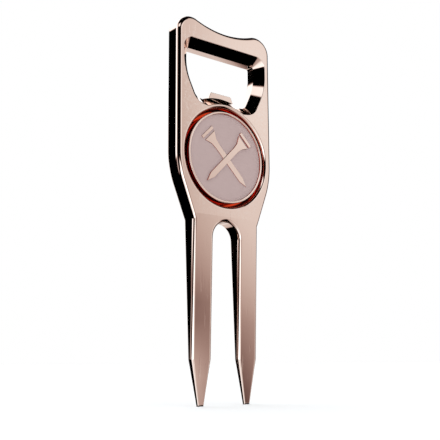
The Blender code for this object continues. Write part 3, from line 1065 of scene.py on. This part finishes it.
# Soft cards round the tool, as the metal sees them. Azimuth 0 is in front of the tool and +90 to its
# right, elevation is above the horizon, and each card is one profile along each, as (degrees, level).
WHITE = 1.5
CARDS = {
    "key_left": (
        ((-8, 0.0), (4, 0.1), (10, 0.5), (14, 0.9), (20, 1.05), (33.6, 1.05), (34.4, 0.0)),
        ((8, 0.0), (14, 1.0), (30, 1.0), (35, 0.0)),
    ),
    "low_left": (
        (
            (-45, 0.0),
            (-41, 0.5),
            (-37, 1.1),
            (-32, WHITE),
            (-8, WHITE),
            (0, 0.9),
            (10, 0.66),
            (24, 0.47),
            (34, 0.44),
            (35, 0.0),
        ),
        ((-7, 0.0), (-4, 1.0), (5, 1.0), (9, 0.0)),
    ),
    "below": (
        (
            (-52, 0.0),
            (-45, 1.2),
            (-20, 1.2),
            (-10, 0.8),
            (10, 0.8),
            (24, 0.74),
            (30, 0.68),
            (37.5, 0.6),
            (38.7, 0.06),
            (39.5, 0.0),
        ),
        ((-70, 0.4), (-44, 0.75), (-30, 1.0), (-3.8, 1.0), (0.7, 0.0)),
    ),
    "below_right": (
        ((39, 0.0), (42, 0.2), (58, 0.2), (66, 0.0)),
        ((-14, 0.0), (-10, 1.0), (-4, 1.0), (0, 0.0)),
    ),
    "left_low": (
        ((-112, 0.0), (-105, 0.35), (-97, 0.75), (-90, 0.6), (-84, 0.15), (-78, 0.0)),
        ((-12, 0.0), (-8, 1.0), (4, 1.0), (8, 0.0)),
    ),
    "left_back": (
        ((-137, 0.0), (-132, WHITE), (-104, WHITE), (-94, 0.8), (-84, 0.28), (-74, 0.0)),
        ((5, 0.0), (9, 1.0), (34, 1.0), (60, 0.0)),
    ),
    "high_left": (
        ((-80, 0.0), (-65, 1.1), (-26, 1.1), (-20, 0.0)),
        ((34, 0.0), (36.5, 1.0), (50, 1.0), (52, 0.0)),
    ),
    "right_back": (
        ((139.5, 0.0), (141, 0.7), (170, 0.7), (179, 0.5)),
        ((-60, 0.0), (-40, 1.0), (-6, 1.0), (-3, 0.0)),
    ),
    "back_high": (
        ((-180, 1.3), (-136, 1.3), (-126, 0.0), (140, 0.0), (150, 1.3), (180, 1.3)),
        ((28, 0.0), (31, 1.0), (60, 1.0), (70, 0.0)),
    ),
    "behind_right": (
        ((100, 0.0), (108, 1.0), (132, 1.0), (136, 0.5), (140, 0.0)),
        ((-27, 0.0), (-22, 1.0), (-6, 1.0), (-2, 0.0)),
    ),
    "behind": (
        ((144, 0.0), (152, 1.0), (180, 1.0)),
        ((-30, 0.0), (-26, 0.4), (-6, 0.4), (-3, 1.0), (14, 1.0), (19, 0.0)),
    ),
    "behind_left": (
        ((-180, 1.0), (-170, 0.9), (-162, 0.0)),
        ((-30, 0.0), (-26, 0.9), (-3, 1.0), (14, 1.0), (19, 0.0)),
    ),
    "right_high": (
        ((110, 0.0), (114, 1.3), (134, 1.3), (140, 0.0)),
        ((27, 0.0), (30, 1.0), (38, 1.0), (42, 0.0)),
    ),
    "right": (
        ((76, 0.0), (86, 0.5), (104, 0.7), (118, 0.0)),
        ((-35, 0.0), (-20, 1.0), (4, 0.6), (14, 0.0)),
    ),
}
# The key card, which the front face mirrors, leans: its height profile rises with the azimuth from
# FACE_AZIMUTH by KEY_SLANT degrees in each degree.
FACE_AZIMUTH = 36.5
KEY_SLANT = 0.75
KEY_AZIMUTH = ((33.6, 0.0), (34.4, 0.58), (36, 0.64), (38.5, 0.73), (40, 0.78), (60, 0.82), (75, 0.0))
KEY_HEIGHT = (
    (-4, 0.0),
    (-2.5, 0.06),
    (-1, 0.17),
    (0.4, 0.3),
    (2.3, 0.47),
    (4.3, 0.68),
    (6.3, 0.83),
    (10.3, 1.0),
    (16, 1.0),
    (22, 1.12),
    (30, 1.12),
    (45, 0.8),
    (52, 0.0),
)
# The cards turn warmer as they dim, as (level, green share, blue share).
TINTS = (
    (0.0, 0.60, 0.55),
    (0.15, 0.68, 0.64),
    (0.28, 0.76, 0.72),
    (0.6, 0.933, 0.912),
    (0.83, 1.046, 1.066),
    (1.0, 1.09, 1.13),
    (1.5, 1.15, 1.25),
)
TINT_SCALE = 1.25
DOME_LEVEL = 1.12
FLOOR_HALF_SIZE = 3.0
FLOOR_CELLS = 40
FLOOR_DROP = 0.00005
FLOOR_LEVEL = 0.95


def ramp(tree, value, stops):
    """A colour ramp with stops of (position from 0 to 1, colour)."""
    made = node(tree, "ShaderNodeValToRGB")
    tree.links.new(value, made.inputs[0])
    elements = made.color_ramp.elements
    while len(elements) > 1:
        elements.remove(elements[-1])
    for index, (position, colour) in enumerate(stops):
        element = elements[0] if index == 0 else elements.new(position)
        element.position = position
        element.color = (*colour, 1.0)
    return made.outputs[0]


def profile(tree, degrees, stops):
    """A level that runs through stops of (degrees, level)."""
    place = maths(tree, "MULTIPLY_ADD", degrees, 1 / 360, 0.5)
    stops = [((angle + 180) / 360, (level / WHITE,) * 3) for angle, level in stops]
    return maths(tree, "MULTIPLY", ramp(tree, place, stops), WHITE)


def make_world():
    world = bpy.data.worlds.new("studio")
    world.use_nodes = True
    tree = world.node_tree
    tree.nodes.clear()
    direction = node(tree, "ShaderNodeTexCoord").outputs["Generated"]
    split = node(tree, "ShaderNodeSeparateXYZ")
    tree.links.new(direction, split.inputs[0])
    x, y, z = split.outputs
    facing = maths(tree, "MULTIPLY", y, -1.0)
    azimuth = maths(tree, "DEGREES", maths(tree, "ARCTAN2", x, facing))
    height = maths(tree, "DEGREES", maths(tree, "ARCSINE", z))
    aside = maths(tree, "SUBTRACT", azimuth, FACE_AZIMUTH)
    slanted = maths(tree, "MULTIPLY_ADD", aside, KEY_SLANT, height)
    key = maths(
        tree,
        "MULTIPLY",
        profile(tree, azimuth, KEY_AZIMUTH),
        profile(tree, slanted, KEY_HEIGHT),
    )
    level = key
    for along, up in CARDS.values():
        card = maths(tree, "MULTIPLY", profile(tree, azimuth, along), profile(tree, height, up))
        level = maths(tree, "ADD", level, card)
    stops = []
    for value, green, blue in TINTS:
        stops.append((value / WHITE, (1 / TINT_SCALE, green / TINT_SCALE, blue / TINT_SCALE)))
    tint = ramp(tree, maths(tree, "DIVIDE", level, WHITE), stops)
    cards = node(tree, "ShaderNodeBackground")
    tree.links.new(tint, cards.inputs["Color"])
    tree.links.new(maths(tree, "MULTIPLY", level, TINT_SCALE), cards.inputs["Strength"])

    # Matt surfaces are lit by a plain pale dome, and the backdrop is white.
    dome = node(tree, "ShaderNodeBackground")
    dome.inputs["Strength"].default_value = DOME_LEVEL
    backdrop = node(tree, "ShaderNodeBackground")
    for shader in (dome, backdrop):
        shader.inputs["Color"].default_value = (1.0, 1.0, 1.0, 1.0)
    path = node(tree, "ShaderNodeLightPath")
    lit = node(tree, "ShaderNodeMixShader")
    tree.links.new(path.outputs["Is Diffuse Ray"], lit.inputs[0])
    tree.links.new(cards.outputs[0], lit.inputs[1])
    tree.links.new(dome.outputs[0], lit.inputs[2])
    seen = node(tree, "ShaderNodeMixShader")
    tree.links.new(path.outputs["Is Camera Ray"], seen.inputs[0])
    tree.links.new(lit.outputs[0], seen.inputs[1])
    tree.links.new(backdrop.outputs[0], seen.inputs[2])
    output = node(tree, "ShaderNodeOutputWorld")
    tree.links.new(seen.outputs[0], output.inputs["Surface"])
    return world


def make_floor():
    """A wide, plain, pale floor under the tips, which the metal doesn't mirror."""
    mesh = bmesh.new()
    bmesh.ops.create_grid(mesh, x_segments=FLOOR_CELLS, y_segments=FLOOR_CELLS, size=FLOOR_HALF_SIZE)
    data = bpy.data.meshes.new("floor")
    mesh.to_mesh(data)
    mesh.free()
    floor = bpy.data.objects.new("floor", data)
    floor.location.z = -FLOOR_DROP
    floor.visible_glossy = False
    bpy.context.scene.collection.objects.link(floor)
    made, tree, shader = material("pale_floor")
    shader.inputs["Base Color"].default_value = (FLOOR_LEVEL, FLOOR_LEVEL, FLOOR_LEVEL, 1.0)
    shader.inputs["Roughness"].default_value = 1.0
    shader.inputs["Specular IOR Level"].default_value = 0.0
    data.materials.append(made)


bpy.context.scene.world = make_world()
make_floor()
bpy.context.scene.view_settings.view_transform = "Standard"
